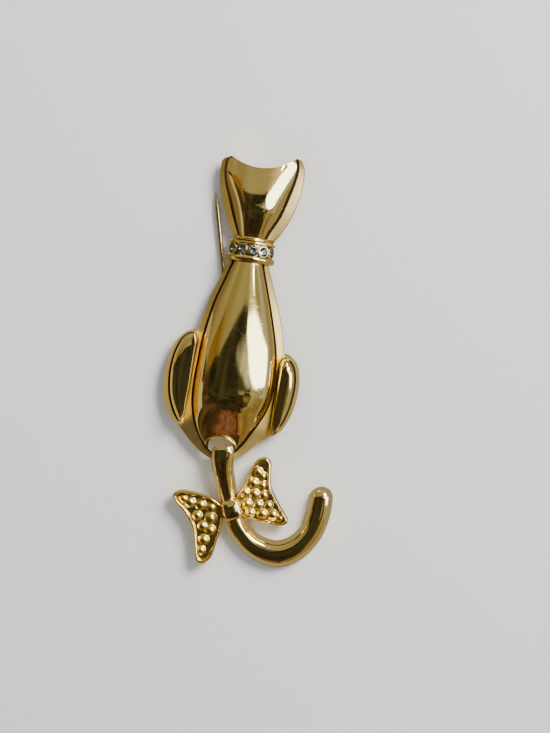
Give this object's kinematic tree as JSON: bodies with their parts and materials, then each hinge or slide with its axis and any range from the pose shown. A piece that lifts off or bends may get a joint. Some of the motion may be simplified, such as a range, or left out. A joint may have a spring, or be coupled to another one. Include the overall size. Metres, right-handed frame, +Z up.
{
  "type": "brooch",
  "caption": "Gold-tone cat brooch seen from behind, with a stone-set collar, a hooked-on curled tail with a bow, and a hinged pin.",
  "frame": {"origin": "on the surface that the brooch lies on, under the pivot of its pin", "axes": "+Z up out of the brooch's front, +Y along the figure towards its head, +X to the right as the front is seen"},
  "size_m": [0.0359, 0.08, 0.009],
  "materials": {
    "gold": "polished gold-tone plate",
    "stone": "clear cut stone, foiled behind",
    "finding": "gold-tone plate",
    "pin": "polished wire"
  },
  "bodies": {
    "brooch": {"figure": "gold", "stone_1": "stone", "stone_2": "stone", "stone_3": "stone", "stone_4": "stone", "stone_5": "stone", "pin_bar": "finding", "pin_rivet": "finding"},
    "pin": {"pin_stem": "pin"},
    "tail": {"tail": "gold"}
  },
  "joints": [
    {"name": "pin_hinge", "type": "hinge", "parent": "brooch", "child": "pin", "pos_m": [0, 0, 0], "axis": [0, 0, 1], "range_deg": [-13.9, 60]},
    {"name": "tail_swing", "type": "hinge", "parent": "brooch", "child": "tail", "pos_m": [0.0002, -0.01656, 0], "axis": [0, 0, 1], "range_deg": [-30, 15]}
  ]
}
